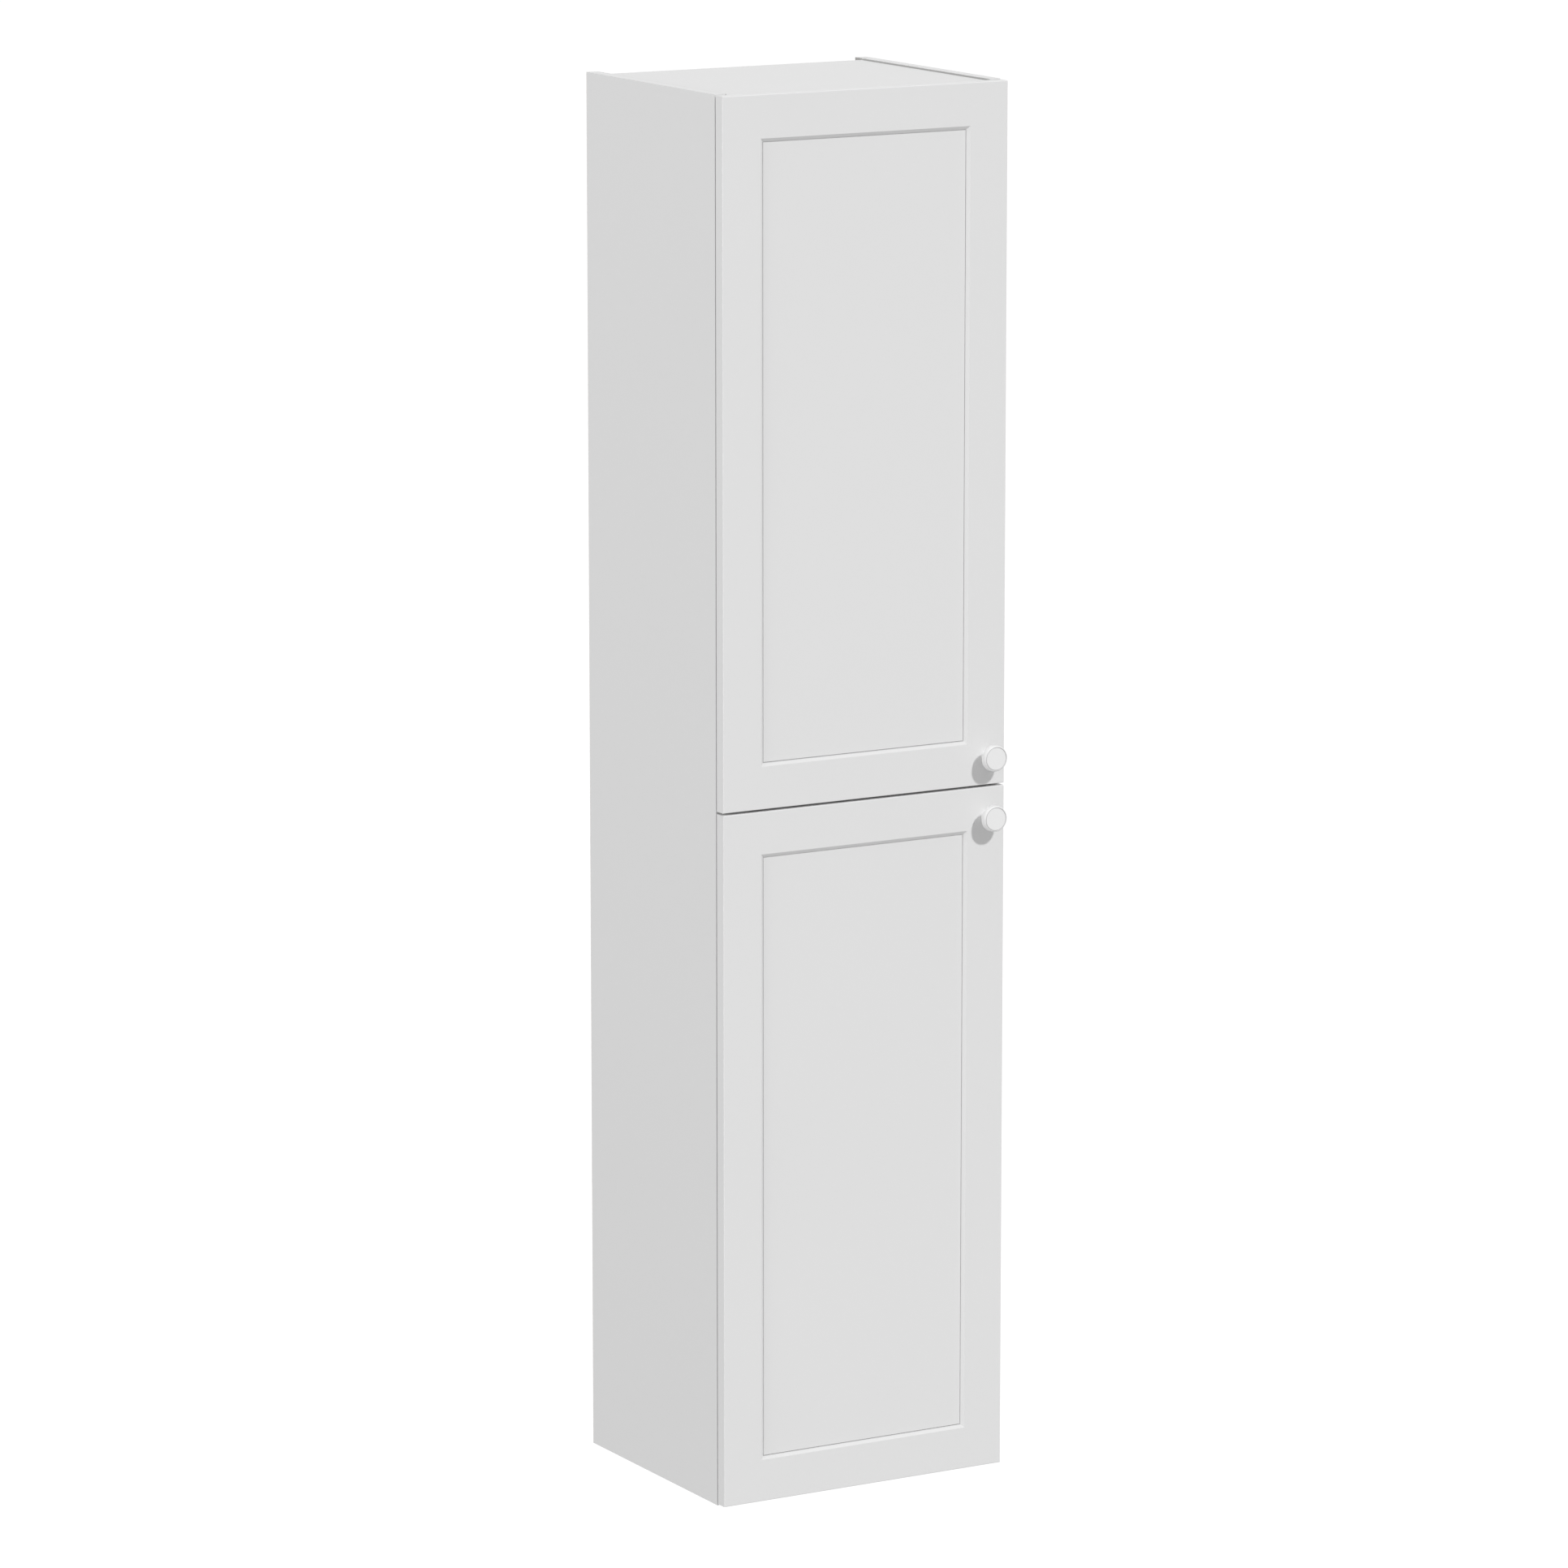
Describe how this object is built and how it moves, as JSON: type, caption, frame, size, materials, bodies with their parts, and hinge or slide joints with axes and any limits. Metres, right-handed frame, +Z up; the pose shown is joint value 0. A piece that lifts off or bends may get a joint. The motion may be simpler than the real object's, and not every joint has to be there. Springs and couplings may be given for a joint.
{
  "type": "tall bathroom cabinet",
  "caption": "Tall white wall-hung bathroom cabinet with an upper and a lower framed door, hinged on the left by concealed cup hinges, with round knobs and loose shelves inside.",
  "frame": {"origin": "centre of the four screw holes of the two wall plates, on the wall plane", "axes": "+X right as seen from the front, +Y into the wall, +Z up; the doors face -Y"},
  "size_m": [0.4, 0.365, 1.75],
  "materials": {
    "carcass_board": "white melamine-faced particle board",
    "door_paint": "satin white foil on a routed fibreboard panel",
    "knob_paint": "satin white enamel",
    "clear_pad": "soft clear bumper",
    "white_plastic": "fine matt white",
    "zinc_steel": "bright zinc plating",
    "nickel_steel": "satin nickel plating"
  },
  "bodies": {
    "carcass": {"back_panel": "carcass_board", "bottom_panel": "carcass_board", "fixed_shelf": "carcass_board", "hanger_adjusting_screws": "zinc_steel", "hanger_cover_left": "white_plastic", "hanger_cover_right": "white_plastic", "hanger_hook_left": "zinc_steel", "hanger_hook_right": "zinc_steel", "hanger_left": "zinc_steel", "hanger_right": "zinc_steel", "loose_shelf_1": "carcass_board", "loose_shelf_2": "carcass_board", "loose_shelf_3": "carcass_board", "loose_shelf_4": "carcass_board", "lower_door_bottom_hinge_arm": "nickel_steel", "lower_door_bottom_hinge_plate": "nickel_steel", "lower_door_top_hinge_arm": "nickel_steel", "lower_door_top_hinge_plate": "nickel_steel", "rear_rail": "carcass_board", "shelf_pins": "nickel_steel", "side_panel_left": "carcass_board", "side_panel_right": "carcass_board", "top_panel": "carcass_board", "upper_door_bottom_hinge_arm": "nickel_steel", "upper_door_bottom_hinge_plate": "nickel_steel", "upper_door_top_hinge_arm": "nickel_steel", "upper_door_top_hinge_plate": "nickel_steel", "wall_plate_left": "zinc_steel", "wall_plate_right": "zinc_steel"},
    "upper_outer_links": {"upper_door_bottom_hinge_outer_link": "nickel_steel", "upper_door_top_hinge_outer_link": "nickel_steel"},
    "upper_inner_links": {"upper_door_bottom_hinge_inner_link": "nickel_steel", "upper_door_top_hinge_inner_link": "nickel_steel"},
    "upper_door": {"upper_door_bottom_hinge_cup": "nickel_steel", "upper_door_knob": "knob_paint", "upper_door_knob_screw": "nickel_steel", "upper_door_pads": "clear_pad", "upper_door_panel": "door_paint", "upper_door_top_hinge_cup": "nickel_steel"},
    "lower_outer_links": {"lower_door_bottom_hinge_outer_link": "nickel_steel", "lower_door_top_hinge_outer_link": "nickel_steel"},
    "lower_inner_links": {"lower_door_bottom_hinge_inner_link": "nickel_steel", "lower_door_top_hinge_inner_link": "nickel_steel"},
    "lower_door": {"lower_door_bottom_hinge_cup": "nickel_steel", "lower_door_knob": "knob_paint", "lower_door_knob_screw": "nickel_steel", "lower_door_pads": "clear_pad", "lower_door_panel": "door_paint", "lower_door_top_hinge_cup": "nickel_steel"}
  },
  "joints": [
    {"name": "upper_door_outer_link_turn", "type": "hinge", "parent": "carcass", "child": "upper_outer_links", "pos_m": [-0.15887, -0.30251, -0.367], "axis": [0, 0, -1], "range_deg": [-28.9, 0.2]},
    {"name": "upper_door_inner_link_turn", "type": "hinge", "parent": "carcass", "child": "upper_inner_links", "pos_m": [-0.157, -0.3206, -0.367], "axis": [0, 0, -1], "range_deg": [-37.4, 0.2]},
    {"name": "upper_door_swing", "type": "hinge", "parent": "upper_outer_links", "child": "upper_door", "pos_m": [-0.1889, -0.3258, -0.367], "axis": [0, 0, -1], "range_deg": [0, 128.7]},
    {"name": "lower_door_outer_link_turn", "type": "hinge", "parent": "carcass", "child": "lower_outer_links", "pos_m": [-0.15887, -0.30251, -1.242], "axis": [0, 0, -1], "range_deg": [-28.9, 0.2]},
    {"name": "lower_door_inner_link_turn", "type": "hinge", "parent": "carcass", "child": "lower_inner_links", "pos_m": [-0.157, -0.3206, -1.242], "axis": [0, 0, -1], "range_deg": [-37.4, 0.2]},
    {"name": "lower_door_swing", "type": "hinge", "parent": "lower_outer_links", "child": "lower_door", "pos_m": [-0.1889, -0.3258, -1.242], "axis": [0, 0, -1], "range_deg": [0, 128.7]}
  ],
  "couplings": [
    {"joint": "upper_door_outer_link_turn", "follows": "upper_door_swing", "ratio": -0.223},
    {"joint": "upper_door_inner_link_turn", "follows": "upper_door_swing", "ratio": -0.28904},
    {"joint": "lower_door_outer_link_turn", "follows": "lower_door_swing", "ratio": -0.223},
    {"joint": "lower_door_inner_link_turn", "follows": "lower_door_swing", "ratio": -0.28904}
  ]
}
